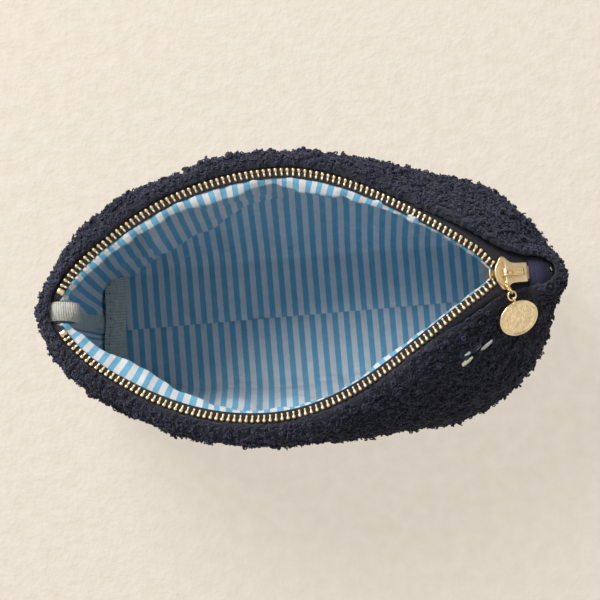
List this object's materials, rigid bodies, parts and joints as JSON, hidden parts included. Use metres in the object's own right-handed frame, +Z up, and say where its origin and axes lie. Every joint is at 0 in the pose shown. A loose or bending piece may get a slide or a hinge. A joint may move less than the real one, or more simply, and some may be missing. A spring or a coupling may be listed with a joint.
{
  "type": "zippered pouch",
  "caption": "Open fleece pouch with a boxed base, woven striped lining, metal zip, bound inside seams and a hinged charm pull on its slider.",
  "frame": {"origin": "middle of the bounding box, on the surface that the base stands on", "axes": "+X along the mouth towards the slider, -Y the front where the charm hangs, +Z up"},
  "size_m": [0.2278, 0.1266, 0.1175],
  "materials": {
    "fleece": "navy curly boucle fleece, matt",
    "lining": "smooth plain weave, sky blue and white stripes",
    "tape": "navy woven zip tape",
    "gold": "polished pale gold plating",
    "grosgrain_navy": "navy ribbed grosgrain",
    "grosgrain_cream": "cream ribbed grosgrain binding"
  },
  "bodies": {
    "pouch": {"shell_front": "fleece", "shell_back": "fleece", "lining_front": "lining", "lining_back": "lining", "zip_tape_front": "tape", "zip_tape_back": "tape", "teeth_front": "gold", "teeth_back": "gold", "top_stop_front": "gold", "top_stop_back": "gold", "bottom_stop": "gold", "zip_end_tab": "grosgrain_navy", "side_binding_left": "grosgrain_cream", "side_binding_right": "grosgrain_cream", "corner_binding_left": "grosgrain_cream", "corner_binding_right": "grosgrain_cream"},
    "slider": {"slider_body": "gold", "slider_cap": "gold", "lock_spring": "gold"},
    "bail": {"pull_bail": "gold"},
    "link": {"pull_link": "gold"},
    "ring": {"charm_ring": "gold"},
    "charm": {"pull_charm": "gold"}
  },
  "joints": [
    {"name": "slider_travel", "type": "slide", "parent": "pouch", "child": "slider", "axis": [-0.9595, 0, 0.2817], "range_m": [0, 0.002]},
    {"name": "bail_swing", "type": "hinge", "parent": "slider", "child": "bail", "pos_m": [0.0847, 0.00022, 0.11535], "axis": [0, 1, 0], "range_deg": [-12, 3]},
    {"name": "link_swing", "type": "hinge", "parent": "bail", "child": "link", "pos_m": [0.08411, -0.00453, 0.11552], "axis": [-0.8392, -0.4848, 0.2464], "range_deg": [0, 80]},
    {"name": "ring_swing", "type": "hinge", "parent": "link", "child": "ring", "pos_m": [0.08582, -0.00792, 0.11466], "axis": [0, 1, 0], "range_deg": [-15, 0]},
    {"name": "charm_swing", "type": "hinge", "parent": "ring", "child": "charm", "pos_m": [0.08671, -0.01136, 0.11331], "axis": [-0.8975, -0.3425, 0.2778], "range_deg": [0, 50]}
  ]
}
